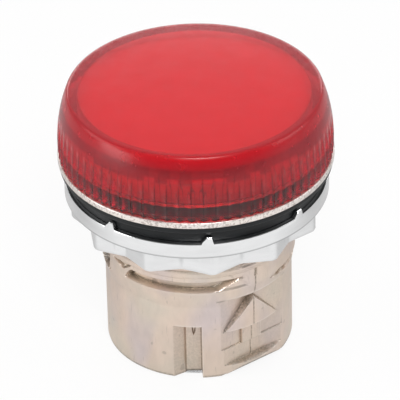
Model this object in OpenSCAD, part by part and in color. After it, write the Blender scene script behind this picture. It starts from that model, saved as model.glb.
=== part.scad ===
// Head of a 22 mm panel pilot light.
// The origin is the middle of the panel seat: the front face of the panel lies at z = 0,
// +Z points out of the panel, and the keyway of the barrel faces -Y.

/* [Housing] */
// Diameter of the flange that covers the panel hole
flange_d = 29.6; // [29:0.1:32]
// Thickness of the flange
flange_t = 0.7; // [0.5:0.1:1.5]
// Outer diameter of the collar that the lens screws onto
collar_d = 24.8; // [24:0.1:25.2]
// Height of the collar above the flange
collar_h = 4; // [3:0.1:5]
// Wall of the collar
collar_wall = 1.1; // [0.8:0.1:1.6]
// Diameter of the barrel behind its neck
barrel_d = 20.2; // [19.6:0.1:20.6]
// Depth of the barrel behind the panel seat
barrel_depth = 20.15; // [20:0.05:28]
// Diameter of the bore that takes the lamp block
lamp_bore_d = 16; // [14:0.1:16.4]
// Diameter of the plain neck just behind the thread
neck_d = 21; // [20.8:0.1:21]
// Diameter at the root of the thread
thread_root_d = 21.2; // [21.1:0.1:21.4]
// Diameter of the clearance that the thread crests need
thread_crest_d = 22.2; // [21.9:0.1:22.4]
// Length of the thread behind the panel seat
thread_len = 6.9; // [6.6:0.1:7]

/* [Lens] */
// Distance from the edge of the flange to the ridges of the lens
lens_inset = 0.05; // [0:0.05:0.5]
// Height of the lens above the flange
lens_h = 7.5; // [6.8:0.1:10]
// Diameter of the flat top of the lens
lens_top_d = 27.1; // [26.4:0.1:28]
// Thickness of the top of the lens
lens_top_t = 0.8; // [0.6:0.1:1.4]
// Height above the flange where the shoulder starts to curve in
shoulder_h = 1.6; // [1:0.1:2.6]
// Rounding of the top edge
lens_edge_r = 0.4; // [0.2:0.1:0.6]
// Number of grip flutes
flute_count = 72; // [48:6:90]
// Depth of a flute
flute_depth = 0.28; // [0.15:0.01:0.4]

/* [Diffuser] */
// Diameter of the diffuser cap
diffuser_d = 24.2; // [23:0.1:24.4]
// Wall of the diffuser
diffuser_wall = 0.9; // [0.6:0.1:1.2]
// Height of the rim that stands out round its top
diffuser_rim_h = 1; // [0.8:0.1:1.6]
// How far its skirt reaches down into the collar
diffuser_skirt = 2.8; // [1.5:0.1:3.5]

/* [Seals] */
// Section width of the lens seal
seal_w = 0.8; // [0.6:0.05:0.9]
// Section height of the lens seal
seal_h = 1.3; // [1:0.1:1.6]
// Thickness of the panel gasket
gasket_t = 2.3; // [1.9:0.1:3]
// Thickness of the gasket's wide upper tier
gasket_rim_t = 0.65; // [0.4:0.05:0.9]
// Diameter of the gasket's narrow lower tier
gasket_seat_d = 27.3; // [25:0.1:27.4]

/* [Mounting ring] */
// Diameter of the ring's flange
ring_d = 28.4; // [28.2:0.1:30]
// Thickness of the ring's flange
ring_flange_t = 1.85; // [1.2:0.05:2.5]
// Height of the lobed wrench section behind the flange
ring_grip_h = 2.65; // [1.5:0.05:2.7]
// Diameter over the lobes
ring_lobe_d = 27.2; // [26.6:0.1:28.2]
// Number of teeth that grip the panel
tooth_count = 8; // [4:1:12]
// Height of a tooth
tooth_h = 0.7; // [0.4:0.1:1]
// Width of a tooth at its foot
tooth_w = 1.25; // [0.9:0.05:2]

/* [Barrel marks] */
// Direction of the flat, counted from the keyway
flat_angle = 37; // [32:1:42]
// Distance of the flat from the axis
flat_dist = 9.19; // [9:0.01:9.5]
// Direction of the arrow, counted from the keyway
arrow_angle = 35.3; // [33:0.1:39]
// Width of the arrow head
arrow_w = 7.2; // [5:0.1:7.6]
// Height of the arrow head
arrow_h = 3.8; // [3:0.1:4.4]
// Width of the arrow's stem
stem_w = 2.7; // [1.5:0.1:3.4]
// Width of the keyway floor
keyway_w = 1.66; // [1.4:0.02:2.2]
// Distance of the keyway's steep wall past the -Y line
keyway_shift = 0.12; // [-0.2:0.02:0.5]
// Width over which the keyway runs out on its shallow side
keyway_run = 1.4; // [0.8:0.1:1.8]
// Depth of the keyway
keyway_depth = 1.35; // [0.8:0.05:1.4]
// Length of the keyway from the rear end
keyway_len = 6.7; // [5:0.1:8]
// Rounding of the barrel's rear edge
rear_soft = 0.3; // [0.2:0.05:0.8]

/* [Hidden] */
$fn = 96;

eps = 0.01;
fit_gap = 0.05;       // running clearance of a threaded or piloted fit
face_gap = 0.1;       // clearance between faces that meet when tightened

flange_z = gasket_t;                 // underside of the flange
deck_z = flange_z + flange_t;        // top of the flange
collar_z = deck_z + collar_h;        // rim of the collar
collar_r = collar_d / 2;
well_r = collar_r - collar_wall;     // inside of the collar
barrel_r = barrel_d / 2;
rear_z = -barrel_depth;

thread_end_z = -thread_len;
neck_r = neck_d / 2;
neck_end_z = thread_end_z - 2;       // the neck is straight down to here
taper_end_z = neck_end_z - 2;        // and has run out into the barrel here

collar_edge = 0.3;                   // chamfer of the collar's rim
flange_edge = 0.12;                  // chamfer of the flange

lens_r = flange_d / 2 - lens_inset;
lens_z = deck_z + face_gap;
lens_top_z = deck_z + lens_h;
lens_bore_r = collar_r + fit_gap;
seal_top_z = deck_z + seal_h;
seal_room = 0.3;                     // room round the seal, in the lens
shoulder_z = deck_z + shoulder_h;
shoulder_drop = lens_r - lens_top_d / 2;
shoulder_rise = lens_top_z - shoulder_z;
shoulder_turn = 2 * atan(shoulder_drop / shoulder_rise);
shoulder_r = shoulder_rise / sin(shoulder_turn);
// the rounding of the top edge touches the shoulder and the top
edge_mid_z = lens_top_z - lens_edge_r;
edge_start = asin((edge_mid_z - shoulder_z) / (shoulder_r - lens_edge_r));
edge_mid_x = lens_r - shoulder_r + (shoulder_r - lens_edge_r) * cos(edge_start);

diffuser_r = diffuser_d / 2;
diffuser_top_z = lens_top_z - lens_top_t - face_gap;
diffuser_skirt_r = well_r - face_gap;
diffuser_edge = 0.3;                 // chamfer of the diffuser's top edge

ring_bore_r = thread_root_d / 2 + fit_gap;
ring_grip_z = -ring_flange_t;
ring_rear_z = ring_grip_z - ring_grip_h;
ring_lobe_angle = 6.5;               // one lobe points here, counted from the keyway
tooth_angle = 4;                     // and one tooth here
tooth_deep = (ring_d - gasket_seat_d) / 2 - face_gap;

groove_z = thread_end_z - 0.75;      // upper edge of the front groove
groove_h = 1;
groove_r = barrel_r - 0.45;
band_z = groove_z - groove_h - 1.6;  // lower edge of the full round band, above the flat
ledge_z = rear_z + 1.45;             // catch ledge under the flat
ramp_z = rear_z + 1.05;              // the ramp below the catch starts here
slab_z = ledge_z + 2;                // line under the arrow's stem
slab_rise = 0.12;
stem_dist = flat_dist + 0.36;
arrow_z = band_z - 0.45;             // tip of the arrow
notch_w = 0.72;                      // pointed notch in the keyway's floor
notch_h = 2.7;
notch_deep = 0.25;

// Point on a circle of radius r in the X-Z picture of the barrel, at an angle from the keyway
function front(angle, z, r = neck_r) = [r * sin(angle), z];

// Turns a shape that was made facing -Y to an angle counted from the keyway
module facing(angle) {
    rotate([0, 0, angle]) children();
}

// Outline in X-Z, cut through everything in front of the axis
module front_prism(points) {
    rotate([90, 0, 0]) linear_extrude(barrel_d) polygon(points);
}

// Pocket in the skin of the barrel: an X-Z outline, down to the radius floor_r
module skin_pocket(points, floor_r) {
    difference() {
        front_prism(points);
        translate([0, 0, rear_z - 1]) cylinder(r = floor_r, h = barrel_depth + 2);
    }
}

// Section in distance and height, swept along the flat
module flat_sweep(points, width) {
    facing(flat_angle) translate([width / 2, 0, 0]) rotate([90, 0, -90])
        linear_extrude(width) polygon(points);
}

// ---- lens ---------------------------------------------------------------

function shoulder_point(turn) = [
    lens_r - shoulder_r * (1 - cos(turn)),
    shoulder_z + shoulder_r * sin(turn)
];

// Outer outline, from the skirt up over the shoulder to the rounded top edge
module lens_outline() {
    polygon(concat(
        [[0, lens_z], [lens_r, lens_z]],
        [for (i = [0:8]) shoulder_point(edge_start * i / 8)],
        [for (i = [1:4]) let (turn = edge_start + (90 - edge_start) * i / 4)
            [edge_mid_x + lens_edge_r * cos(turn), edge_mid_z + lens_edge_r * sin(turn)]],
        [[0, lens_top_z]]
    ));
}

module lens_cavity() {
    // pocket over the lens seal
    translate([0, 0, lens_z - eps])
        cylinder(r = collar_r + seal_w + seal_room, h = seal_top_z + face_gap - lens_z);
    // threaded bore round the collar, and the room of the diffuser
    translate([0, 0, lens_z - eps])
        cylinder(r = lens_bore_r, h = lens_top_z - lens_top_t - lens_z + eps);
}

module lens() {
    flute_r = PI * lens_r / flute_count * 1.15;
    color("crimson") difference() {
        rotate_extrude() lens_outline();
        lens_cavity();
        for (i = [0:flute_count - 1])
            rotate([0, 0, i * 360 / flute_count])
                translate([lens_r + flute_r - flute_depth, 0, lens_z - 1])
                    cylinder(r = flute_r, h = lens_top_z - lens_z + 1, $fn = 16);
    }
}

// ---- diffuser -----------------------------------------------------------

module diffuser() {
    rim_z = diffuser_top_z - diffuser_rim_h;
    roof_z = diffuser_top_z - diffuser_wall;
    inner_r = diffuser_skirt_r - diffuser_wall;
    color("mistyrose") rotate_extrude() polygon([
        [0, roof_z], [inner_r, roof_z], [inner_r, collar_z - diffuser_skirt],
        [diffuser_skirt_r, collar_z - diffuser_skirt], [diffuser_skirt_r, rim_z],
        [diffuser_r, rim_z], [diffuser_r, diffuser_top_z - diffuser_edge],
        [diffuser_r - diffuser_edge, diffuser_top_z], [0, diffuser_top_z]
    ]);
}

// ---- lens seal ----------------------------------------------------------

module lens_seal() {
    inner_r = collar_r + eps;
    soft = seal_w / 4;
    color("black") rotate_extrude() polygon([
        [inner_r, deck_z], [inner_r + seal_w - soft, deck_z],
        [inner_r + seal_w, deck_z + soft], [inner_r + seal_w, seal_top_z - soft],
        [inner_r + seal_w - soft, seal_top_z], [inner_r, seal_top_z]
    ]);
}

// ---- housing ------------------------------------------------------------

// Flange, collar, thread root, neck and barrel, turned about the axis
module housing_turned() {
    flange_r = flange_d / 2;
    rotate_extrude() polygon([
        [lamp_bore_d / 2, rear_z],
        [barrel_r - rear_soft, rear_z],
        [barrel_r - rear_soft * 0.3, rear_z + rear_soft * 0.3],
        [barrel_r, rear_z + rear_soft],
        [barrel_r, taper_end_z], [neck_r, neck_end_z], [neck_r, thread_end_z],
        [thread_root_d / 2, thread_end_z + 0.1], [thread_root_d / 2, flange_z],
        [flange_r - flange_edge, flange_z], [flange_r, flange_z + flange_edge],
        [flange_r, deck_z - flange_edge], [flange_r - flange_edge, deck_z],
        [collar_r, deck_z], [collar_r, collar_z - collar_edge], [collar_r - collar_edge, collar_z],
        [well_r, collar_z], [well_r, deck_z], [lamp_bore_d / 2, deck_z]
    ]);
}

// Arrow head at full height and its lower stem, as seen from the front of the flat
module arrow_head() {
    facing(arrow_angle) front_prism([
        [0, arrow_z], [arrow_w / 2, arrow_z - arrow_h], [-arrow_w / 2, arrow_z - arrow_h]
    ]);
}

module arrow_stem() {
    facing(arrow_angle) intersection() {
        translate([-stem_w / 2, -stem_dist, slab_z]) cube([stem_w, stem_dist, arrow_z - slab_z - 2]);
        translate([0, 0, slab_z]) cylinder(r = barrel_r, h = barrel_depth);
    }
}

// The flat with its arrow and the slab under the stem left standing
module marked_flat() {
    out = barrel_r + 1;
    difference() {
        flat_sweep([
            [flat_dist, band_z], [out, band_z], [out, ledge_z - 0.6],
            [barrel_r, ledge_z - 0.3], [flat_dist, ledge_z]
        ], barrel_d);
        flat_sweep([
            [0, ledge_z - 1], [flat_dist + slab_rise, ledge_z - 1],
            [flat_dist + slab_rise, slab_z], [0, slab_z]
        ], barrel_d);
        arrow_head();
        arrow_stem();
    }
}

// Ramp at the rear end that leads a latch over the catch ledge
module catch_ramp() {
    drop = rear_z - 1;
    reach = barrel_r + 1;
    slope = (barrel_r - flat_dist) / (ramp_z - rear_z);
    flat_sweep([
        [barrel_r, ramp_z], [reach, ramp_z + (reach - barrel_r) / slope], [reach, drop],
        [flat_dist - slope, drop]
    ], barrel_d);
}

// Open slot at the rear end: steep on the arrow's side, running out on the other
module keyway() {
    floor_y = keyway_depth - barrel_r;
    left_x = keyway_shift - keyway_w;
    out_x = left_x - keyway_run;
    out_y = -barrel_r - 1;
    top_z = rear_z + keyway_len;
    translate([0, 0, rear_z - 1]) linear_extrude(keyway_len + 1) polygon([
        [keyway_shift, floor_y], [left_x, floor_y],
        [left_x - keyway_run * 0.6, floor_y - keyway_depth * 0.25], [out_x, floor_y - keyway_depth * 0.7],
        [out_x, out_y], [keyway_shift, out_y]
    ]);
    // pointed notch in its floor, under the top end
    translate([keyway_shift - keyway_w * 0.57, floor_y + notch_deep, 0])
        rotate([90, 0, 0]) linear_extrude(notch_deep + 1)
            polygon([[-notch_w / 2, top_z], [notch_w / 2, top_z], [0, top_z - notch_h]]);
}

// Bayonet grooves and the notches at the end of the thread
module neck_cuts() {
    low_z = groove_z - groove_h;
    skin_pocket([
        front(-44.5, groove_z), front(24.5, groove_z), front(13.6, low_z + 0.3),
        front(10, low_z), front(-48.4, low_z)
    ], groove_r);
    skin_pocket([front(14, groove_z), front(24.5, groove_z), front(30, low_z), front(10, low_z)],
        neck_r - 0.14);
    // second groove, on the right
    skin_pocket([
        front(47, neck_end_z - 0.4), front(55, neck_end_z + 0.1), front(89, neck_end_z - 0.1),
        front(89, neck_end_z - 0.9), front(60, neck_end_z - 0.6)
    ], barrel_r);
    // pointed notch and wide notch, on the left
    skin_pocket([front(-60, thread_end_z - 0.3), front(-44, thread_end_z - 0.1), front(-50, groove_z - 0.1)],
        barrel_r);
    skin_pocket([
        front(-88, thread_end_z - 0.2), front(-65, thread_end_z - 0.2), front(-66, neck_end_z - 0.7),
        front(-71, neck_end_z - 1), front(-80, neck_end_z - 1)
    ], barrel_r - 0.3);
    // relief of the parting line
    facing(arrow_angle) translate([-0.15, -neck_r - 1, groove_z - 0.2])
        cube([0.3, 1.14, thread_end_z + 2 - groove_z]);
}

module housing() {
    color("tan") difference() {
        housing_turned();
        marked_flat();
        catch_ramp();
        keyway();
        neck_cuts();
    }
}

// ---- panel gasket -------------------------------------------------------

module panel_gasket() {
    rim_r = flange_d / 2 - 0.15;
    rim_z = flange_z - gasket_rim_t;
    inner_r = thread_crest_d / 2 + fit_gap;
    seat_r = gasket_seat_d / 2;
    color("darkslategray") rotate_extrude() polygon([
        [inner_r, 0], [seat_r, 0], [seat_r, rim_z], [rim_r - 0.1, rim_z],
        [rim_r, rim_z + 0.1], [rim_r, flange_z], [inner_r, flange_z]
    ]);
}

// ---- mounting ring ------------------------------------------------------

// Two hexagons make the twelve lobes, and a chamfered disc trims their tips
module ring_grip() {
    lobe_r = ring_lobe_d / 2;
    tip_trim = 0.15;
    soft = 0.3;
    intersection() {
        translate([0, 0, ring_rear_z]) linear_extrude(ring_grip_h + eps) union() {
            for (turn = [0, 30]) facing(ring_lobe_angle + turn) circle(r = lobe_r + tip_trim, $fn = 6);
        }
        rotate_extrude() polygon([
            [0, ring_rear_z], [lobe_r - soft, ring_rear_z], [lobe_r, ring_rear_z + soft],
            [lobe_r, ring_grip_z + 1], [0, ring_grip_z + 1]
        ]);
    }
}

// One tooth: steep on one side, sloping on the other
module ring_tooth() {
    outer_y = -ring_d / 2 + 0.02;
    translate([0, outer_y + tooth_deep, 0]) rotate([90, 0, 0]) linear_extrude(tooth_deep) polygon([
        [-tooth_w / 2, -eps], [tooth_w / 2, -eps], [tooth_w / 2 - 0.15, tooth_h],
        [tooth_w / 2 - 0.7, tooth_h], [-tooth_w / 2, tooth_h * 0.2]
    ]);
}

module mounting_ring() {
    ring_r = ring_d / 2;
    soft = 0.15;
    lead = 0.35;
    color("gainsboro") {
        difference() {
            union() {
                rotate_extrude() polygon([
                    [0, ring_grip_z], [ring_r - soft, ring_grip_z], [ring_r, ring_grip_z + soft],
                    [ring_r, -soft], [ring_r - soft, 0], [0, 0]
                ]);
                ring_grip();
                for (i = [0:tooth_count - 1]) facing(tooth_angle + i * 360 / tooth_count) ring_tooth();
            }
            translate([0, 0, ring_rear_z - 1]) cylinder(r = ring_bore_r, h = ring_grip_h + ring_flange_t + 3);
            translate([0, 0, ring_rear_z - eps])
                cylinder(r1 = ring_bore_r + lead, r2 = ring_bore_r, h = lead);
            translate([0, 0, eps - lead]) cylinder(r1 = ring_bore_r, r2 = ring_bore_r + lead, h = lead);
        }
    }
}

lens();
diffuser();
lens_seal();
housing();
panel_gasket();
mounting_ring();
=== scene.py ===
"""Looks of the panel pilot light head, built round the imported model.

Lengths are in mm until a mesh is made. The frame's origin is the middle of the panel seat,
+Z points out of the panel and -Y to the keyway.
"""
import math

import bpy
import numpy as np
from mathutils import Matrix, Vector


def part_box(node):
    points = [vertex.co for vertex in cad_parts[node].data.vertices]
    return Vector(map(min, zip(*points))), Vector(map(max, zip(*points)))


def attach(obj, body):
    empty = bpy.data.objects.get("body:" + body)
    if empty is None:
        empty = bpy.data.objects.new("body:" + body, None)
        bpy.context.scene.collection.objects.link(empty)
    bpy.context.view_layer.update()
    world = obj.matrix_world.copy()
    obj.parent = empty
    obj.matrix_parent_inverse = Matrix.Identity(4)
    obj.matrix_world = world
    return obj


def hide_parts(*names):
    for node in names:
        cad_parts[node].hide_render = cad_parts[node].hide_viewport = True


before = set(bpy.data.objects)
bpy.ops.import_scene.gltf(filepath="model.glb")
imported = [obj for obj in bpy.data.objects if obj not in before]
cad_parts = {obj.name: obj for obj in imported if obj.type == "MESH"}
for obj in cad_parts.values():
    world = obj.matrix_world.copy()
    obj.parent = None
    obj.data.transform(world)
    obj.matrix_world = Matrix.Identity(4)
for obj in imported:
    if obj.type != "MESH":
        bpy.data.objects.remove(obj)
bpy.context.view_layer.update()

MM = 0.001


# ---- sizes ------------------------------------------------------------------------------------

def box_of(node):
    """Lowest and highest corner of a CAD node, in mm."""
    low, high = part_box(node)
    return low / MM, high / MM


LENS_LOW, LENS_HIGH = box_of("lens")
DIFFUSER_LOW, DIFFUSER_HIGH = box_of("diffuser")
SEAL_LOW, SEAL_HIGH = box_of("lens_seal")
HOUSING_LOW, HOUSING_HIGH = box_of("housing")
_, GASKET_HIGH = box_of("panel_gasket")
RING_LOW, RING_HIGH = box_of("mounting_ring")

# casting
REAR_Z = HOUSING_LOW.z
COLLAR_Z = HOUSING_HIGH.z
FLANGE_R = HOUSING_HIGH.x
FLANGE_Z = GASKET_HIGH.z  # underside of the flange
DECK_Z = SEAL_LOW.z  # top of the flange
SEAL_PLAY = 0.01
COLLAR_R = SEAL_HIGH.x - (0.8 + SEAL_PLAY)
WELL_R = COLLAR_R - 1.1
BORE_R = 8.0
ROOT_R = 10.6
CREST_R = 11.08
NECK_R = 10.5
BARREL_R = 10.1
THREAD_END_Z = -6.9
NECK_END_Z = THREAD_END_Z - 2
TAPER_END_Z = NECK_END_Z - 2
PANEL_PITCH = 1.5
LENS_PITCH = 1.5
COLLAR_THREAD_H = 0.12
REAR_ROUND = [(0.3, 0), (0.15, 0.04), (0.04, 0.14)]  # in from the barrel, and up from the rear

# marks on the barrel
FLAT_ANGLE = math.radians(37)
FLAT_DIST = 9.19
ARROW_ANGLE = math.radians(35.3)
ARROW_HALF = 3.6
ARROW_H = 3.8
STEM_HALF = 1.35
STEM_DIST = FLAT_DIST + 0.36
GROOVE_Z = THREAD_END_Z - 0.75
GROOVE_H = 1.0
BAND_Z = GROOVE_Z - GROOVE_H - 1.6
ARROW_Z = BAND_Z - 0.45
LEDGE_Z = REAR_Z + 1.45
RAMP_Z = REAR_Z + 1.05
SLAB_Z = LEDGE_Z + 2
SLAB_RISE = 0.12
KEYWAY_TOP_Z = REAR_Z + 6.7
KEYWAY_FLOOR = [(0.12, -8.75), (-1.54, -8.75), (-1.72, -8.98), (-2.94, -9.68)]  # x and y
NOTCH_X = -0.82
NOTCH_HALF = 0.24
NOTCH_H = 1.9
NOTCH_DEEP = 0.25

# lens
FLUTES = 72
FLUTE_DEPTH = 0.28
LENS_R = LENS_HIGH.x
LENS_TOP_Z = LENS_HIGH.z
SHOULDER_Z = DECK_Z + 1.6
LENS_LEAN = 1.2  # how far the shoulder's arc leans in by the top
LENS_EDGE_R = 0.4
LENS_ROOF_T = 0.8
LENS_THREAD_H = 0.04
DOME = 0.1
SHOULDER_ARC_R = (LENS_TOP_Z - SHOULDER_Z) / math.sin(
    2 * math.atan(LENS_LEAN / (LENS_TOP_Z - SHOULDER_Z)))
LENS_BORE_R = COLLAR_R + 0.05
POCKET_R = SEAL_HIGH.x + 0.29  # the lens's pocket for the seal
POCKET_Z = SEAL_HIGH.z + 0.1

# diffuser and gasket
DIFFUSER_WALL = 0.9
DIFFUSER_RIM_H = 1
DIFFUSER_SKIRT_R = WELL_R - 0.1
GASKET_BORE_R = 11.15
GASKET_SEAT_R = 13.65
GASKET_RIM_T = 0.65

# mounting ring
RING_R = RING_HIGH.x
RING_BORE_R = ROOT_R + 0.05
RING_FLANGE_T = 1.85
LOBE_R = 13.6
LOBE_ANGLE = 6.5
TEETH = 8
TOOTH_ANGLE = 4.0
TOOTH_W = 1.25
TOOTH_DEEP = 0.45


# ---- shape helpers ----------------------------------------------------------------------------

def soft_step(distance, width):
    """0 below, 1 above, rising over the width."""
    t = np.clip(distance / width + 0.5, 0, 1)
    return t * t * (3 - 2 * t)


def soft_min(a, b, blend=0.02):
    """The smaller of two, with the corner between them rounded."""
    low = np.minimum(a, b)
    return low - blend * np.log(np.exp(-(a - low) / blend) + np.exp(-(b - low) / blend))


def inside(outline, x, z, soft):
    """1 inside a convex outline that runs anticlockwise, 0 outside, soft across its edges."""
    share = 1.0
    widths = np.broadcast_to(soft, len(outline))
    for (x0, z0), (x1, z1), width in zip(outline, outline[1:] + outline[:1], widths):
        length = math.hypot(x1 - x0, z1 - z0)
        share = share * soft_step(((x1 - x0) * (z - z0) - (z1 - z0) * (x - x0)) / length, width)
    return share


def rounded(corners, steps=4):
    """The (r, z) points of a profile of (r, z, rounding) corners, each replaced by such an arc."""
    points = []
    count = len(corners)
    for i, (r, z, radius) in enumerate(corners):
        here = Vector((r, z))
        before = Vector(corners[i - 1][:2]) - here
        after = Vector(corners[(i + 1) % count][:2]) - here
        if radius == 0 or before.length == 0 or after.length == 0:
            points.append((r, z))
            continue
        before.normalize()
        after.normalize()
        half = before.angle(after) / 2
        middle = here + (before + after).normalized() * (radius / math.sin(half))
        start = here + before * (radius / math.tan(half)) - middle
        end = here + after * (radius / math.tan(half)) - middle
        for k in range(steps + 1):
            point = middle + start.slerp(end, k / steps).normalized() * radius
            points.append((point.x, point.y))
    return points


def spans(*pieces):
    """Values from start, count, stop, count, stop..., each span divided evenly."""
    values = [pieces[0]]
    for count, stop in zip(pieces[1::2], pieces[2::2]):
        values += list(np.linspace(values[-1], stop, count + 1)[1:])
    return np.array(values)


def make_object(name, vertices, faces, sharp):
    """A smooth-shaded object, with edges left sharp from the given angle in degrees."""
    mesh = bpy.data.meshes.new(name)
    mesh.from_pydata(vertices, [], faces)
    mesh.polygons.foreach_set("use_smooth", [True] * len(mesh.polygons))
    mesh.set_sharp_from_angle(angle=math.radians(sharp))
    mesh.update()
    obj = bpy.data.objects.new(name, mesh)
    bpy.context.scene.collection.objects.link(obj)
    return obj


def turned(name, radius, height, angles, closed=True, sharp=35.0):
    """Turns rows of (radius, height) over columns at the given angles from the keyway side.

    A closed profile runs back to its first row, and an open one starts and ends on the axis.
    """
    rows, columns = radius.shape
    x = radius * np.sin(angles) * MM
    y = -radius * np.cos(angles) * MM
    vertices = np.stack([x, y, height * MM], axis=-1).reshape(-1, 3).tolist()
    faces = []
    for i in range(rows if closed else rows - 1):
        a, b = i * columns, (i + 1) % rows * columns
        for j in range(columns):
            k = (j + 1) % columns
            faces.append((a + j, b + j, b + k, a + k))
    if not closed:
        for row, flip in ((0, False), (rows - 1, True)):
            centre = len(vertices)
            vertices.append((0.0, 0.0, float(height[row].mean()) * MM))
            for j in range(columns):
                k = (j + 1) % columns
                a, b = row * columns + j, row * columns + k
                faces.append((centre, b, a) if flip else (centre, a, b))
    return make_object(name, vertices, faces, sharp)


def add_layer(obj, name, values):
    """Stores one number per vertex for the materials."""
    layer = obj.data.attributes.new(name, "FLOAT", "POINT")
    full = np.full(len(obj.data.vertices), values[-1].mean(), dtype=np.float32)
    full[:values.size] = values.reshape(-1)
    # the two end centres of an open profile take the mean of the rows beside them
    if len(full) > values.size:
        full[values.size] = values[0].mean()
    layer.data.foreach_set("value", full)


def profile_grid(points, angles):
    """The same profile on every column."""
    r = np.array([p[0] for p in points])[:, None]
    z = np.array([p[1] for p in points])[:, None]
    one = np.ones((1, len(angles)))
    return r * one, z * one


def full_turn(columns):
    """Angles of evenly spaced columns."""
    return np.linspace(-math.pi, math.pi, columns, endpoint=False)


def relief(radius, reach=2):
    """How far each point of a grid lies below its surroundings, negative where it stands proud."""
    padded = np.pad(radius, ((reach, reach), (0, 0)), mode="edge")
    rows = len(radius)
    around = sum(np.roll(radius, k, axis=1) for k in (-reach, -1, 1, reach))
    around = around + sum(padded[reach + k:reach + k + rows] for k in (-reach, -1, 1, reach))
    return around / 8 - radius


def ridge(angles, z, pitch):
    """Height share, 0 to 1, of a right-hand thread of rounded triangular section."""
    turn = (z / pitch - angles / (2 * math.pi)) % 1.0
    rise = 1 - np.abs(2 * turn - 1)
    return soft_step(rise - 0.5, 0.8)


# ---- materials --------------------------------------------------------------------------------

class Nodes:
    """A material's node tree, with short ways to add what the finishes share."""

    def __init__(self, name):
        self.material = bpy.data.materials.new(name)
        self.material.use_nodes = True
        self.tree = self.material.node_tree
        self.shader = self.tree.nodes["Principled BSDF"]
        self.output = self.tree.nodes["Material Output"]
        self.place = self.add("ShaderNodeTexCoord").outputs["Object"]

    def add(self, kind, **settings):
        node = self.tree.nodes.new(kind)
        for key, value in settings.items():
            setattr(node, key, value)
        return node

    def link(self, a, b):
        self.tree.links.new(a, b)

    def noise(self, size_mm, detail=2.0, stretch=(1, 1, 1)):
        """Noise with lumps about size_mm across, longer along an axis where stretch is over 1."""
        mapping = self.add("ShaderNodeMapping")
        for i in range(3):
            mapping.inputs["Scale"].default_value[i] = 1 / (size_mm * MM * stretch[i])
        self.link(self.place, mapping.inputs["Vector"])
        noise = self.add("ShaderNodeTexNoise")
        noise.inputs["Scale"].default_value = 1.0
        noise.inputs["Detail"].default_value = detail
        self.link(mapping.outputs["Vector"], noise.inputs["Vector"])
        return noise.outputs["Fac"]

    def ramp(self, value, *stops):
        """Colours at positions along the value."""
        node = self.add("ShaderNodeValToRGB")
        elements = node.color_ramp.elements
        while len(elements) < len(stops):
            elements.new(0.5)
        for element, (position, colour) in zip(elements, stops):
            element.position = position
            element.color = (*colour, 1)
        self.link(value, node.inputs["Fac"])
        return node.outputs["Color"]

    def spread(self, value, low, high, start=0.3, end=0.7):
        """The value's range from start to end, mapped from low to high."""
        node = self.add("ShaderNodeMapRange")
        limits = {"From Min": start, "From Max": end, "To Min": low, "To Max": high}
        for key, number in limits.items():
            node.inputs[key].default_value = number
        self.link(value, node.inputs["Value"])
        return node.outputs["Result"]

    def blend(self, share, a, b, mode="MIX"):
        """Mix of two colours, each a socket or a plain colour."""
        node = self.add("ShaderNodeMix", data_type="RGBA", blend_type=mode)
        # the node keeps its colour sockets at 6 and 7, and its colour result at 2
        for key, value in ((0, share), (6, a), (7, b)):
            if isinstance(value, bpy.types.NodeSocket):
                self.link(value, node.inputs[key])
            else:
                node.inputs[key].default_value = value if key == 0 else (*value, 1)
        return node.outputs[2]

    def maths(self, operation, a, b):
        """One operation on two values, each a socket or a number."""
        node = self.add("ShaderNodeMath", operation=operation)
        for key, value in ((0, a), (1, b)):
            if isinstance(value, bpy.types.NodeSocket):
                self.link(value, node.inputs[key])
            else:
                node.inputs[key].default_value = value
        return node.outputs[0]

    def attribute(self, name):
        """A number that add_layer stored on the mesh."""
        return self.add("ShaderNodeAttribute", attribute_name=name).outputs["Fac"]

    def bump(self, height, depth_mm, strength, after=None):
        """Normals for a height, on top of those of an earlier bump."""
        node = self.add("ShaderNodeBump")
        node.inputs["Strength"].default_value = strength
        node.inputs["Distance"].default_value = depth_mm * MM
        self.link(height, node.inputs["Height"])
        if after is not None:
            self.link(after, node.inputs["Normal"])
        return node.outputs["Normal"]

    def set(self, **values):
        """Plain values or sockets for the Principled shader's inputs."""
        for key, value in values.items():
            socket = self.shader.inputs[key.replace("_", " ")]
            if isinstance(value, bpy.types.NodeSocket):
                self.link(value, socket)
            else:
                socket.default_value = value


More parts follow.
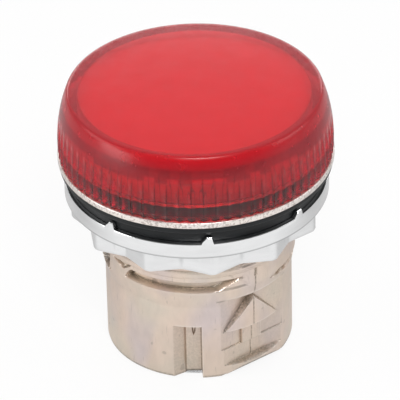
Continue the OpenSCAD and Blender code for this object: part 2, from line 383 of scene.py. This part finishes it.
def casting_material():
    """Satin nickelled die casting: warm, with faint clouds, drag marks and a few pits.

    The mesh says where the flange's rim is paler, where painted shade and dirt darken it, and where
    proud edges are painted paler, a painted highlight.
    """
    n = Nodes("casting")
    pale = (0.93, 0.87, 0.80)
    pale_rim = (0.93, 0.88, 0.85)
    cloud = n.noise(6.0, detail=2)
    warm = n.ramp(cloud, (0.35, (0.78, 0.64, 0.545)), (0.52, (0.77, 0.65, 0.55)),
                  (0.68, (0.72, 0.635, 0.54)))
    lilac = n.spread(n.noise(4.3, detail=1, stretch=(1, 1, 1.8)), 0.0, 0.7, 0.50, 0.75)
    tinted = n.blend(lilac, warm, (0.66, 0.58, 0.59))
    fine = n.noise(0.5, detail=3, stretch=(1, 1, 2.5))
    mottle = n.noise(1.9, detail=3, stretch=(1, 1, 1.5))
    shade = n.maths("MULTIPLY", n.spread(fine, 0.97, 1.02), n.spread(mottle, 0.93, 1.03))
    colour = n.blend(1.0, tinted, shade, "MULTIPLY")
    pits = n.spread(n.noise(0.8, detail=0), 1.0, 0.0, 0.16, 0.21)
    colour = n.blend(n.maths("MULTIPLY", pits, 0.35), colour, (0.30, 0.26, 0.22))
    drags = n.spread(n.noise(0.25, detail=2, stretch=(1, 1, 9)), 0.0, 1.0, 0.66, 0.76)
    colour = n.blend(n.maths("MULTIPLY", drags, 0.35), colour, (0.30, 0.25, 0.21))
    rim = n.attribute("rim")
    colour = n.blend(n.maths("MULTIPLY", rim, 0.7), colour, pale_rim)
    speck = n.maths("MULTIPLY", rim, n.spread(n.noise(0.26, detail=1), 1.0, 0.0, 0.38, 0.50))
    colour = n.blend(n.maths("MULTIPLY", speck, 0.5), colour, (0.30, 0.23, 0.21))
    # painted shade, with some dirt: dark granular patches where the mesh says recesses, shaded
    # walls and lines are
    shade_and_grime = n.attribute("shade_and_grime")
    granular = n.noise(0.22, detail=2)
    patchy = n.maths("MULTIPLY", shade_and_grime, n.spread(granular, 0.45, 0.95, 0.38, 0.60))
    colour = n.blend(patchy, colour, (0.16, 0.145, 0.105))
    # painted highlight: proud edges are painted paler
    colour = n.blend(n.maths("MULTIPLY", n.attribute("edge_highlight"), 0.3), colour, pale)
    rough = n.spread(mottle, 0.30, 0.44)
    normal = n.bump(fine, 0.012, 0.5)
    normal = n.bump(n.noise(2.6, detail=1), 0.06, 0.5, normal)
    normal = n.bump(pits, -0.03, 0.6, normal)
    normal = n.bump(n.maths("MULTIPLY", granular, shade_and_grime), 0.10, 0.7, normal)
    n.set(Base_Color=colour, Metallic=0.9, Roughness=rough, Normal=normal)
    return n.material


def ring_material():
    """Bright plating with faint drag marks, darkened with painted shade where the mesh says."""
    n = Nodes("bright_plating")
    streak = n.noise(1.2, detail=2, stretch=(3, 3, 0.6))
    colour = n.ramp(streak, (0.3, (0.77, 0.775, 0.78)), (0.7, (0.82, 0.825, 0.83)))
    # painted shade in the lobes' hollows and under the flange
    colour = n.blend(n.maths("MULTIPLY", n.attribute("shade_and_grime"), 0.8), colour, (0.12, 0.125, 0.13))
    rough = n.spread(n.noise(0.8, detail=2), 0.10, 0.20)
    normal = n.bump(n.noise(0.5, detail=2), 0.012, 0.5)
    n.set(Base_Color=colour, Metallic=1.0, Roughness=rough, Normal=normal)
    return n.material


def rubber_material(name, colour, rough):
    """Moulded black rubber with fine grain and a dusty sheen."""
    n = Nodes(name)
    dust = n.noise(1.6, detail=3)
    tone = n.ramp(dust, (0.35, colour), (0.75, tuple(c * 1.7 + 0.003 for c in colour)))
    grain = n.noise(0.16, detail=2)
    n.set(Base_Color=tone, Roughness=n.spread(dust, rough, rough + 0.14))
    n.set(Normal=n.bump(grain, 0.012, 0.6), Specular_IOR_Level=0.3)
    return n.material


def opal_material():
    """Opal plastic, matt, with the faintest cloud."""
    n = Nodes("opal_plastic")
    cloud = n.noise(3.0, detail=2)
    n.set(Base_Color=n.ramp(cloud, (0.3, (0.73, 0.70, 0.66)), (0.7, (0.77, 0.75, 0.72))))
    n.set(Roughness=n.spread(cloud, 0.42, 0.55), Normal=n.bump(n.noise(0.4), 0.01, 0.5))
    return n.material


def lens_material():
    """Red plastic, clearest in the wall, and frosted on the shoulder and its inner faces.

    Lamps shine through it in its own tint.
    """
    n = Nodes("clear_red_plastic")
    painted_shade_red = (0.10, 0.003, 0.014)
    lamp_tint = (0.80, 0.05, 0.06, 1)
    cloud = n.noise(2.0, detail=2)
    thin = n.ramp(cloud, (0.3, (0.71, 0.010, 0.027)), (0.7, (0.74, 0.012, 0.032)))
    # painted shade from the mesh: flute ridges, the space under the diffuser's rim and the foot,
    # with painted glints
    n.set(Base_Color=n.blend(n.attribute("painted_lens_shade"), thin, painted_shade_red))
    frost = n.spread(n.attribute("frost"), 0.0, 0.24, 0.0, 1.0)
    n.set(Roughness=n.maths("ADD", frost, n.spread(n.noise(1.1, detail=2), 0.07, 0.11)))
    n.set(Normal=n.bump(n.noise(1.7, detail=1), 0.012, 0.5))
    n.set(Transmission_Weight=n.spread(n.attribute("clear"), 0.66, 0.96, 0.0, 1.0))
    n.set(IOR=1.49, Specular_IOR_Level=0.3)
    passing = n.add("ShaderNodeBsdfTransparent")
    passing.inputs["Color"].default_value = lamp_tint
    mix = n.add("ShaderNodeMixShader")
    n.link(n.add("ShaderNodeLightPath").outputs["Is Shadow Ray"], mix.inputs[0])
    n.link(n.shader.outputs[0], mix.inputs[1])
    n.link(passing.outputs[0], mix.inputs[2])
    n.link(mix.outputs[0], n.output.inputs["Surface"])
    return n.material


# ---- pieces -----------------------------------------------------------------------------------

def finish_piece(obj, material, body, node, slot):
    """Dresses a piece, hangs it on its body and hides the CAD node it stands for. The slot is not
    used.
    """
    obj.data.materials.append(material)
    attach(obj, body)
    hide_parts(node)


def make_plain(name, points, columns, closed, *finish):
    """A piece that is the same all the way round."""
    angles = full_turn(columns)
    radius, height = profile_grid(points, angles)
    finish_piece(turned(name, radius, height, angles, closed), *finish)


def shoulder_radius(z):
    """Outer radius of the lens at a height, without its flutes."""
    rise = max(z - SHOULDER_Z, 0)
    return LENS_R - SHOULDER_ARC_R + math.sqrt(SHOULDER_ARC_R ** 2 - rise ** 2)


def make_lens(material):
    angles = full_turn(FLUTES * 12)
    edge_z = LENS_TOP_Z - LENS_EDGE_R
    inner_arc_r = SHOULDER_ARC_R - LENS_EDGE_R
    edge_turn = math.asin((edge_z - SHOULDER_Z) / inner_arc_r)
    edge_r = LENS_R - SHOULDER_ARC_R + inner_arc_r * math.cos(edge_turn)
    roof_z = LENS_TOP_Z - LENS_ROOF_T
    foot_z = LENS_LOW.z
    points = [(r, LENS_TOP_Z) for r in (0.5, 1.5, 3, 4.5, 6, 8, 9.5, 11, 12, edge_r - 0.25)]
    for turn in np.linspace(math.pi / 2, edge_turn, 9):
        points.append((edge_r + LENS_EDGE_R * math.cos(turn),
                       edge_z + LENS_EDGE_R * math.sin(turn)))
    arc_top_z = points[-1][1]
    outside_start = len(points)
    for z in spans(arc_top_z, 12, 8.2, 14, SHOULDER_Z, 4, foot_z + 0.15)[1:]:
        points.append((shoulder_radius(z), z))
    points.append((LENS_R - 0.04, foot_z + 0.04))
    points.append((LENS_R - 0.15, foot_z))
    outside_end = len(points)
    points += rounded([
        (POCKET_R, foot_z, 0.05), (POCKET_R, POCKET_Z, 0.08), (LENS_BORE_R, POCKET_Z, 0.05),
    ])
    thread_start = len(points)
    for z in spans(POCKET_Z + 0.15, 18, COLLAR_Z - 0.3, 3, roof_z - 0.3):
        points.append((LENS_BORE_R, z))
    thread_end = len(points)
    points += [(LENS_BORE_R - 0.06, roof_z - 0.08), (LENS_BORE_R - 0.25, roof_z)]
    points += [(r, roof_z) for r in (9, 5, 2, 0.5)]
    # the top is domed a little, by lowering everything near its edge
    for i, (r, z) in enumerate(points[:outside_start]):
        share = max(0, min(1, (z - roof_z) / LENS_ROOF_T))
        points[i] = (r, z - DOME * min(r / edge_r, 1) ** 2 * share)
    radius, height = profile_grid(points, angles)
    # flutes
    pitch = 2 * math.pi / FLUTES
    flute_r = math.pi * LENS_R / FLUTES * 1.15
    centre = LENS_R + flute_r - FLUTE_DEPTH
    off = (angles + pitch / 2) % pitch - pitch / 2
    reach = np.maximum(flute_r ** 2 - (centre * np.sin(off)) ** 2, 0)
    flute = np.where(reach > 0, centre * np.cos(off) - np.sqrt(reach), LENS_R + 1)
    rows = slice(outside_start, outside_end)
    radius[rows] = soft_min(radius[rows], flute[None, :], 0.03)
    # thread that runs in the collar's
    rows = slice(thread_start, thread_end)
    fade = soft_step(COLLAR_Z - 0.35 - height[rows], 0.4)
    radius[rows] -= LENS_THREAD_H * ridge(angles[None, :], height[rows], LENS_PITCH) * fade
    obj = turned("lens_cap", radius, height, angles, closed=False, sharp=50)
    # the shoulder is a little frosted on the outside, and every inner face is frosted
    frost = np.zeros_like(radius)
    frost[:outside_end] = 0.7 * soft_step(height[:outside_end] - 7.6, 1.0)
    frost[:outside_start - 4] = 0.25
    frost[outside_end:] = 1
    add_layer(obj, "frost", frost)
    # the wall is thickest at the ridges, which carry painted shade, and each flute is painted a
    # little lighter or darker at random
    flute_top_z = 7.7
    on_ridge = soft_step(np.abs(off) / pitch - 0.45, 0.12)[None, :]
    flute = np.round(angles / pitch).astype(int) % FLUTES
    painted_flute_light = np.random.default_rng(7).random(FLUTES)[flute][None, :]
    painted_lens_shade = 0.02 + 0.10 * painted_flute_light + 0.9 * on_ridge * soft_step(7.3 - height, 1.6)
    painted_lens_shade = painted_lens_shade * soft_step(8.0 - height, 1.4)
    # painted shade darkens the space under the diffuser's rim, as seen through the wall, with
    # painted glints where a flute ends
    painted_gap_shade = 0.55 * soft_step(9.1 - height, 0.4) * soft_step(height - 7.5, 0.5)
    painted_glint = (painted_flute_light > 0.45) * (1 - on_ridge) * soft_step(0.3 - np.abs(height - flute_top_z), 0.2)
    painted_lens_shade = np.maximum(painted_lens_shade, painted_gap_shade) * (1 - painted_glint)
    # painted shade darkens the foot, in front of the seal, and the faces of the seal's pocket
    painted_dark_band = soft_step(SEAL_HIGH.z + 0.7 + 0.35 * (1 - painted_flute_light) - height, 0.5)
    painted_lens_shade = np.maximum(painted_lens_shade, 0.5 * painted_dark_band)
    painted_lens_shade[outside_end:thread_start] = 1
    add_layer(obj, "painted_lens_shade", painted_lens_shade)
    clear = soft_step(flute_top_z - height, 0.8) * (1 - 0.55 * soft_step(height - 5.2, 0.6))
    clear[outside_end:] = clear[outside_end:].round()
    add_layer(obj, "clear", clear)
    finish_piece(obj, material, "lens", "lens", "lens")


def make_diffuser(material):
    outer = DIFFUSER_HIGH.x
    top = DIFFUSER_HIGH.z
    skirt_r = DIFFUSER_SKIRT_R
    inner_r = skirt_r - DIFFUSER_WALL
    low = DIFFUSER_LOW.z
    step_z = top - DIFFUSER_RIM_H
    roof_z = top - DIFFUSER_WALL
    points = [(4, top), (8, top)]
    points += rounded([
        (11, top, 0), (outer, top, 0.3), (outer, step_z, 0.08), (skirt_r, step_z, 0.08),
        (skirt_r, low, 0.1), (inner_r, low, 0.1), (inner_r, roof_z, 0.3), (9.5, roof_z, 0),
    ], steps=5)
    points += [(6, roof_z), (3, roof_z)]
    make_plain("diffuser_cap", points, 180, False, material, "lens_lift", "diffuser", "diffuser")


def make_seal(material):
    inner = COLLAR_R + SEAL_PLAY
    outer = SEAL_HIGH.x
    points = rounded([
        (inner, SEAL_LOW.z, 0.1), (outer, SEAL_LOW.z, 0.25), (outer, SEAL_HIGH.z, 0.25),
        (inner, SEAL_HIGH.z, 0.1),
    ], steps=6)
    make_plain("lens_seal_ring", points, 180, True, material, "housing", "lens_seal", "seal")


def make_gasket(material):
    rim_z = FLANGE_Z - GASKET_RIM_T
    points = rounded([
        (GASKET_BORE_R, 0, 0.1), (GASKET_SEAT_R, 0, 0.12),
        (GASKET_SEAT_R, rim_z, 0.1), (GASKET_HIGH.x, rim_z, 0.14),
        (GASKET_HIGH.x, FLANGE_Z, 0.1), (GASKET_BORE_R, FLANGE_Z, 0.1),
    ], steps=5)
    make_plain("gasket_ring", points, 240, True, material, "housing", "panel_gasket", "gasket")


def keyway_radius(angles):
    """Distance of the keyway's floor along each ray, or far out where the ray misses it."""
    radius = np.full(angles.shape, 99.0)
    for (x0, y0), (x1, y1) in zip(KEYWAY_FLOOR, KEYWAY_FLOOR[1:]):
        first, last = math.atan2(x0, -y0), math.atan2(x1, -y1)
        hit = (angles <= first) & (angles >= last)
        ux, uy = np.sin(angles), -np.cos(angles)
        across = ux * (y1 - y0) - uy * (x1 - x0)
        radius = np.where(hit, (x0 * y1 - y0 * x1) / np.where(across == 0, 1, across), radius)
    return radius


def barrel_radius(angles, z):
    """Outer radius of the casting behind the flange, and how far painted shade and dirt darken it,
    from 0 to 1.
    """
    radius = np.interp(z, [TAPER_END_Z, NECK_END_Z], [BARREL_R, NECK_R])
    around = np.degrees(angles)
    per_degree = math.radians(1) * NECK_R
    # thread
    threaded = soft_step(z - THREAD_END_Z - 0.1, 0.15)
    crest = (CREST_R - ROOT_R) * ridge(angles, z, PANEL_PITCH)
    crest = crest * soft_step(z - THREAD_END_Z - 0.6, 0.6)
    radius = radius + threaded * (ROOT_R - NECK_R + crest)
    # flat with its slab, catch ledge and ramp
    across = np.maximum(np.cos(angles - FLAT_ANGLE), 0.1)
    dist = FLAT_DIST + SLAB_RISE * soft_step(SLAB_Z - z, 0.06)
    dist = dist + (BARREL_R - FLAT_DIST) * np.clip((LEDGE_Z - z) / 0.3, 0, 1)
    ramp = BARREL_R - (BARREL_R - FLAT_DIST) * (RAMP_Z - z) / (RAMP_Z - REAR_Z)
    dist = np.where(z < RAMP_Z, np.minimum(dist, ramp), dist)
    flat = soft_min(radius, dist / across + 3 * soft_step(z - BAND_Z, 0.12))
    # arrow
    side = BARREL_R * np.sin(angles - ARROW_ANGLE)
    facing = np.cos(angles - ARROW_ANGLE) > 0
    head = inside([(0, ARROW_Z), (-ARROW_HALF, ARROW_Z - ARROW_H), (ARROW_HALF, ARROW_Z - ARROW_H)],
                  side, z, 0.12) * facing
    stem_top_z = ARROW_Z - 2
    stem = inside([(-STEM_HALF, stem_top_z), (-STEM_HALF, SLAB_Z), (STEM_HALF, SLAB_Z),
                   (STEM_HALF, stem_top_z)], side, z, 0.1) * facing
    stem_r = np.minimum(STEM_DIST / np.maximum(np.cos(angles - ARROW_ANGLE), 0.1), radius)
    marked = flat + (np.maximum(stem_r, flat) - flat) * stem
    marked = marked + (radius - marked) * head
    # where the cast surface is rough, and darkened with painted shade: the arrow's left wall, the
    # ledge, the ramp, the two lines across the flat, and a little on the flat itself
    steep = (head > 0.01) & (head < 0.99) & (side < -0.25)
    ledge = (z < LEDGE_Z + 0.04) & (z > RAMP_Z - 0.02) & (marked < radius - 0.01)
    slope = (z <= RAMP_Z - 0.02) & (marked < radius - 0.03)
    over_flat = np.abs(angles - FLAT_ANGLE) < math.radians(27)
    painted_dark_band = soft_step(0.09 - np.abs(z - BAND_Z + 0.02), 0.08) * over_flat
    slab_edge = soft_step(0.06 - np.abs(z - SLAB_Z), 0.06) * (marked < radius - 0.02)
    shaded_rough_cast = np.maximum.reduce([0.85 * steep, 0.62 * ledge, 0.85 * slope, 0.5 * painted_dark_band,
                                    0.55 * slab_edge, 0.12 * (marked < radius - 0.02)])
    radius = marked
    # keyway with its pointed notch
    key = keyway_radius(angles)
    key_side = radius * np.sin(angles)
    notch_w = np.clip((z - KEYWAY_TOP_Z + NOTCH_H) / 0.8, 0, 1) * NOTCH_HALF
    notch = np.clip(1 - np.abs(key_side - NOTCH_X) / np.maximum(notch_w, 0.01), 0, 1)
    notch = notch * (z < KEYWAY_TOP_Z) * (notch_w > 0.02)
    key = key - NOTCH_DEEP * np.minimum(notch * 3, 1)
    radius = soft_min(radius, key + 3 * soft_step(z - KEYWAY_TOP_Z, 0.1), 0.015)

    def pocket(outline, floor, soft=0.1):
        """Lowers the neck to a floor radius inside an outline given in degrees and mm."""
        nonlocal radius
        placed = [(a * per_degree, h) for a, h in outline]
        share = inside(placed, around * per_degree, z, soft)
        radius = radius + np.minimum(floor - radius, 0) * share
        return share

    low = GROOVE_Z - GROOVE_H
    groove = pocket([(-44.5, GROOVE_Z), (-48.4, low), (10, low), (24.5, GROOVE_Z)],
                    BARREL_R - 0.45, (0.15, 0.1, 0.5, 0.6))
    # the groove's run-out to the right, and the second groove beyond it
    pocket([(14, GROOVE_Z), (10, low), (30, low), (24.5, GROOVE_Z)], NECK_R - 0.14, 0.4)
    pocket([(47, NECK_END_Z - 0.4), (60, NECK_END_Z - 0.6), (89, NECK_END_Z - 0.9),
            (89, NECK_END_Z - 0.1), (55, NECK_END_Z + 0.1)], BARREL_R, 0.15)
    # two recesses to the left
    pointed = pocket([(-60, THREAD_END_Z - 0.3), (-50, GROOVE_Z - 0.1),
                      (-44, THREAD_END_Z - 0.1)], BARREL_R)
    wide = pocket([(-88, THREAD_END_Z - 0.2), (-80, NECK_END_Z - 1), (-71, NECK_END_Z - 1),
                   (-66, NECK_END_Z - 0.7), (-65, THREAD_END_Z - 0.2)], BARREL_R - 0.3)
    # parting line: a relief on the neck, then a hairline
    beside = np.abs(side)
    strip = soft_step(0.15 - beside, 0.08) * soft_step(z - GROOVE_Z + 0.2, 0.1) * facing
    hair = soft_step(0.07 - beside, 0.08) * soft_step(z - LEDGE_Z, 0.2) * facing
    radius = radius - 0.14 * strip * (z < THREAD_END_Z) - 0.05 * hair * (z < GROOVE_Z)
    notch_edge = (notch > 0.02) * (notch < 0.6)
    key_floor = (key < radius + 0.02) * (z < KEYWAY_TOP_Z)
    # painted shade in the grooves, recesses, keyway floor and notch edges, and the parting line
    # drawn darker
    shade_and_grime = np.maximum.reduce([
        shaded_rough_cast, 0.1 * groove, 0.6 * pointed, 0.5 * wide, 0.8 * hair * (z < GROOVE_Z),
        0.8 * strip * (z < THREAD_END_Z), 0.55 * notch_edge, 0.22 * key_floor,
    ])
    return radius, shade_and_grime


def make_housing(material):
    # columns and rows lie closest at the marks of the barrel
    degrees = spans(-180, 30, -95, 56, -50, 40, -18, 66, 4, 160, 66, 34, 95, 30, 180)[:-1]
    angles = np.radians(degrees)
    barrel_z = spans(REAR_Z + 0.3, 14, -18.4, 7, -16.9, 5, -16.5, 11, -14.7, 15, -13.2,
                     26, BAND_Z + 0.2, 32, THREAD_END_Z, 4, THREAD_END_Z + 0.3, 34, 0,
                     4, FLANGE_Z - 0.05)
    top = rounded([
        (ROOT_R, FLANGE_Z, 0), (FLANGE_R, FLANGE_Z, 0.12),
        (FLANGE_R, DECK_Z, 0.12), (COLLAR_R, DECK_Z, 0.05),
    ])
    collar_z = spans(DECK_Z + 0.1, 20, COLLAR_Z - 0.25)
    inside_part = rounded([
        (COLLAR_R, COLLAR_Z, 0.2), (WELL_R, COLLAR_Z, 0.12), (WELL_R, DECK_Z, 0.15),
        (BORE_R, DECK_Z, 0.15), (BORE_R, REAR_Z, 0.2), (BORE_R + 1, REAR_Z, 0),
    ])
    points = [(BARREL_R - back, REAR_Z + up) for back, up in REAR_ROUND]
    points += [(BARREL_R, z) for z in barrel_z]
    barrel_end = len(points)
    points += top
    collar_start = len(points)
    points += [(COLLAR_R, z) for z in collar_z]
    collar_end = len(points)
    points += inside_part
    radius, height = profile_grid(points, angles)
    column = np.broadcast_to(angles[None, :], radius.shape)
    shade_and_grime = np.zeros_like(radius)
    rows = slice(len(REAR_ROUND), barrel_end)
    radius[rows], shade_and_grime[rows] = barrel_radius(column[rows], height[rows])
    foot, _ = barrel_radius(column[:1], np.full_like(height[:1], REAR_Z + 0.02))
    for row, (back, _) in enumerate(REAR_ROUND):
        radius[row] = foot[0] - back
    # hollows are darkened with painted shade, and proud edges of the barrel are painted paler, a
    # painted highlight
    rows = slice(0, barrel_end)
    hollow = relief(radius[rows])
    shade_and_grime[rows] = np.maximum(shade_and_grime[rows], np.clip((hollow - 0.012) / 0.05, 0, 1) * 0.6)
    # painted shade along the rear edge, by the floor
    shade_and_grime[:len(REAR_ROUND) + 1] = 0.55
    edge_highlight = np.zeros_like(radius)
    # painted highlight: proud edges of the barrel below the line across the flat are painted paler
    edge_highlight[rows] = np.clip((-hollow - 0.012) / 0.06, 0, 1) * (height[rows] < BAND_Z + 0.3)
    # thread of the collar
    rows = slice(collar_start, collar_end)
    fade = soft_step(COLLAR_Z - 0.45 - height[rows], 0.4)
    fade = fade * soft_step(height[rows] - SEAL_HIGH.z - 0.3, 0.4)
    radius[rows] -= COLLAR_THREAD_H * ridge(column[rows], height[rows], LENS_PITCH) * fade
    obj = turned("housing_casting", radius, height, angles, sharp=38)
    add_layer(obj, "shade_and_grime", shade_and_grime)
    add_layer(obj, "edge_highlight", edge_highlight)
    rim = np.zeros_like(radius)
    rim[barrel_end:collar_start] = radius[barrel_end:collar_start] > FLANGE_R - 0.3
    add_layer(obj, "rim", rim)
    finish_piece(obj, material, "housing", "housing", "casting")


def lobe_radius(angles):
    """Outline of two hexagons a twelfth of a turn apart, with their tips trimmed."""
    corner = LOBE_R + 0.15
    flat = corner * math.cos(math.radians(30))
    first, second = (flat / np.cos(np.radians((np.degrees(angles) - LOBE_ANGLE - turn) % 60 - 30))
                     for turn in (0, 30))
    outline = -soft_min(-first, -second, 0.04)
    return soft_min(outline, np.full_like(outline, LOBE_R), 0.03)


def tooth_height(angles, height):
    """Teeth that slope on one side and drop steeply on the other."""
    pitch = 360 / TEETH
    off = (np.degrees(angles) - TOOTH_ANGLE + pitch / 2) % pitch - pitch / 2
    x = np.radians(off) * RING_R
    half = TOOTH_W / 2
    return np.interp(x, [-half, -half + 0.04, half - 0.7, half - 0.15, half, half + 0.01],
                     [0, height * 0.2, height, height, 0.05, 0])


def make_ring(material):
    # columns lie closest at the teeth
    edges = []
    for i in range(TEETH):
        middle = (TOOTH_ANGLE + i * 360 / TEETH + 180) % 360 - 180
        edges += list(middle + np.degrees(np.linspace(-0.7, 0.7, 29) / RING_R))
    degrees = np.array(sorted(set(np.round(list(np.arange(-180, 180, 0.75)) + edges, 4))))
    degrees = degrees[np.concatenate([[True], np.diff(degrees) > 0.08])]
    angles = np.radians(degrees[(degrees >= -180) & (degrees < 180)])
    tooth_r = RING_R - TOOTH_DEEP - 0.02
    rear_z = RING_LOW.z
    grip_z = -RING_FLANGE_T
    head = [(RING_BORE_R + 0.25, -0.45), (RING_BORE_R + 0.75, 0), (12.2, 0), (tooth_r - 0.01, 0)]
    teeth = [(tooth_r, 0), (tooth_r + 0.06, 0), (RING_R - 0.14, 0), (RING_R - 0.05, -0.03),
             (RING_R, -0.12)]
    side = [(RING_R, -0.6), (RING_R, -1.2), (RING_R, grip_z + 0.3), (RING_R, grip_z + 0.16),
            (RING_R - 0.05, grip_z + 0.05), (RING_R - 0.16, grip_z)]
    grip = [(LOBE_R, grip_z), (LOBE_R, grip_z - 0.12), (LOBE_R, grip_z - 0.7),
            (LOBE_R, grip_z - 1.4), (LOBE_R, rear_z + 0.5), (LOBE_R, rear_z + 0.3),
            (LOBE_R - 0.08, rear_z + 0.09), (LOBE_R - 0.3, rear_z)]
    mouth = [(RING_BORE_R + 0.9, rear_z), (RING_BORE_R + 0.75, rear_z),
             (RING_BORE_R + 0.25, rear_z + 0.45)]
    bore = [(RING_BORE_R, z) for z in spans(rear_z + 0.5, 44, -0.5)]
    points = head + teeth + side + grip + mouth + bore
    radius, height = profile_grid(points, angles)
    rise = tooth_height(angles, RING_HIGH.z)
    first = len(head) + 1
    for row, share in ((first, 1.0), (first + 1, 1.0), (first + 2, 0.92)):
        height[row] += rise * share
    first = len(head) + len(teeth) + len(side)
    lobes = lobe_radius(angles)
    for i, (r, z) in enumerate(grip):
        radius[first + i] = lobes + (r - LOBE_R) + (0.05 if i == 0 else 0)
    # thread that runs on the casting's
    rows = slice(len(points) - len(bore), len(points))
    radius[rows] += (CREST_R - ROOT_R) * ridge(angles[None, :], height[rows], PANEL_PITCH)
    obj = turned("ring_nut", radius, height, angles, sharp=30)
    # painted shade in the lobes' hollows, and a dark line of painted shade under the flange
    shade = np.zeros_like(radius)
    last = first + len(grip)
    shade[first:last] = np.clip((relief(radius[first:last]) - 0.004) / 0.02, 0, 1) * 0.35
    shade[first - 3:first + 1] = 0.6
    add_layer(obj, "shade_and_grime", shade)
    finish_piece(obj, material, "mounting_ring", "mounting_ring", "ring")


# ---- stage ------------------------------------------------------------------------------------

def make_camera():
    """Looks down on the keyway side, rolled a little, with the part high in the frame."""
    elevation = math.radians(32.56)
    lean = math.radians(1.38)
    distance = 446.0
    aim_right, aim_down = 0.4275, 5.045
    target = Vector((0, 0, FLANGE_Z))
    forward = Vector((0, math.cos(elevation), -math.sin(elevation)))
    right = Vector((1, 0, 0))
    up = right.cross(forward)
    right, up = (right * math.cos(lean) - up * math.sin(lean),
                 up * math.cos(lean) + right * math.sin(lean))
    place = target - forward * distance
    aim = target + right * aim_right - up * aim_down
    back = (place - aim).normalized()
    right = up.cross(back).normalized()
    up = back.cross(right)
    turn = Matrix((right, up, back)).transposed()
    data = bpy.data.cameras.new("camera")
    data.lens = 375.6
    data.sensor_width = 36
    data.clip_start = 0.01
    data.clip_end = 20
    camera = bpy.data.objects.new("camera", data)
    camera.matrix_world = Matrix.Translation(place * MM) @ turn.to_4x4()
    bpy.context.scene.collection.objects.link(camera)
    bpy.context.scene.camera = camera


def add_area(name, place_mm, size_mm, power):
    """A soft lamp that faces the part."""
    data = bpy.data.lights.new(name, "AREA")
    data.shape = "RECTANGLE"
    data.size = size_mm[0] * MM
    data.size_y = size_mm[1] * MM
    data.energy = power
    lamp = bpy.data.objects.new(name, data)
    lamp.location = Vector(place_mm) * MM
    lamp.rotation_euler = (-lamp.location).to_track_quat("-Z", "Y").to_euler()
    bpy.context.scene.collection.objects.link(lamp)


def make_stage():
    """Pale floor that keeps a faint shadow, pale surroundings and soft lamps."""
    mesh = bpy.data.meshes.new("floor")
    reach = 3.0
    floor_z = REAR_Z * MM
    mesh.from_pydata([(-reach, -reach, floor_z), (reach, -reach, floor_z), (reach, reach, floor_z),
                      (-reach, reach, floor_z)], [], [(0, 1, 2, 3)])
    floor = bpy.data.objects.new("floor", mesh)
    bpy.context.scene.collection.objects.link(floor)
    n = Nodes("floor")
    n.set(Base_Color=(0.9, 0.9, 0.9, 1), Roughness=0.9)
    glow = n.add("ShaderNodeEmission")
    path = n.add("ShaderNodeLightPath")
    seen = n.maths("MULTIPLY", path.outputs["Is Camera Ray"], 0.86)
    for ray, share in (("Is Glossy Ray", 0.5), ("Is Transmission Ray", 0.4)):
        seen = n.maths("MAXIMUM", seen, n.maths("MULTIPLY", path.outputs[ray], share))
    # in reflections the floor is darker behind the part than in front of it
    split = n.add("ShaderNodeSeparateXYZ")
    n.link(n.place, split.inputs[0])
    behind = n.spread(split.outputs["Y"], 0.0, 0.6, -22 * MM, 8 * MM)
    dimmed = n.maths("MULTIPLY", behind, path.outputs["Is Glossy Ray"])
    n.link(n.maths("SUBTRACT", 1.0, dimmed), glow.inputs["Strength"])
    mix = n.add("ShaderNodeMixShader")
    n.link(seen, mix.inputs[0])
    n.link(n.shader.outputs[0], mix.inputs[1])
    n.link(glow.outputs[0], mix.inputs[2])
    n.link(mix.outputs[0], n.output.inputs["Surface"])
    mesh.materials.append(n.material)

    world = bpy.data.worlds.new("studio")
    world.use_nodes = True
    bpy.context.scene.world = world
    tree = world.node_tree

    def add(kind, **settings):
        node = tree.nodes.new(kind)
        for key, value in settings.items():
            setattr(node, key, value)
        return node

    # brighter overhead and behind than in front, except where the camera looks straight at it
    toward = add("ShaderNodeVectorMath", operation="DOT_PRODUCT")
    tree.links.new(add("ShaderNodeTexCoord").outputs["Generated"], toward.inputs[0])
    toward.inputs[1].default_value = (0.0, 0.6, 0.8)
    rise = add("ShaderNodeMapRange", interpolation_type="SMOOTHSTEP")
    limits = {"From Min": -0.5, "From Max": 0.9, "To Min": 0.16, "To Max": 0.66}
    for key, value in limits.items():
        rise.inputs[key].default_value = value
    tree.links.new(toward.outputs["Value"], rise.inputs["Value"])
    path = add("ShaderNodeLightPath")
    seen = add("ShaderNodeMath", operation="MAXIMUM")
    tree.links.new(path.outputs["Is Camera Ray"], seen.inputs[0])
    tree.links.new(path.outputs["Is Transmission Ray"], seen.inputs[1])
    level = add("ShaderNodeMix")
    tree.links.new(seen.outputs[0], level.inputs[0])
    tree.links.new(rise.outputs["Result"], level.inputs[2])
    level.inputs[3].default_value = 1.0
    background = tree.nodes["Background"]
    tree.links.new(level.outputs[0], background.inputs["Strength"])
    background.inputs["Color"].default_value = (1, 1, 1, 1)

    add_area("key", (30, -300, 320), (180, 150), 0.93)
    add_area("left", (-420, -20, 170), (300, 220), 0.35)
    add_area("right", (420, -20, 170), (300, 220), 0.35)
    add_area("side", (-375, -150, 36), (190, 90), 0.22)
    add_area("back", (0, 630, 235), (700, 185), 1.25)


make_camera()
make_stage()
make_lens(lens_material())
make_diffuser(opal_material())
make_seal(rubber_material("seal_rubber", (0.012, 0.012, 0.014), 0.5))
make_housing(casting_material())
make_gasket(rubber_material("gasket_rubber", (0.004, 0.005, 0.006), 0.34))
make_ring(ring_material())
bpy.context.scene.view_settings.view_transform = "Standard"
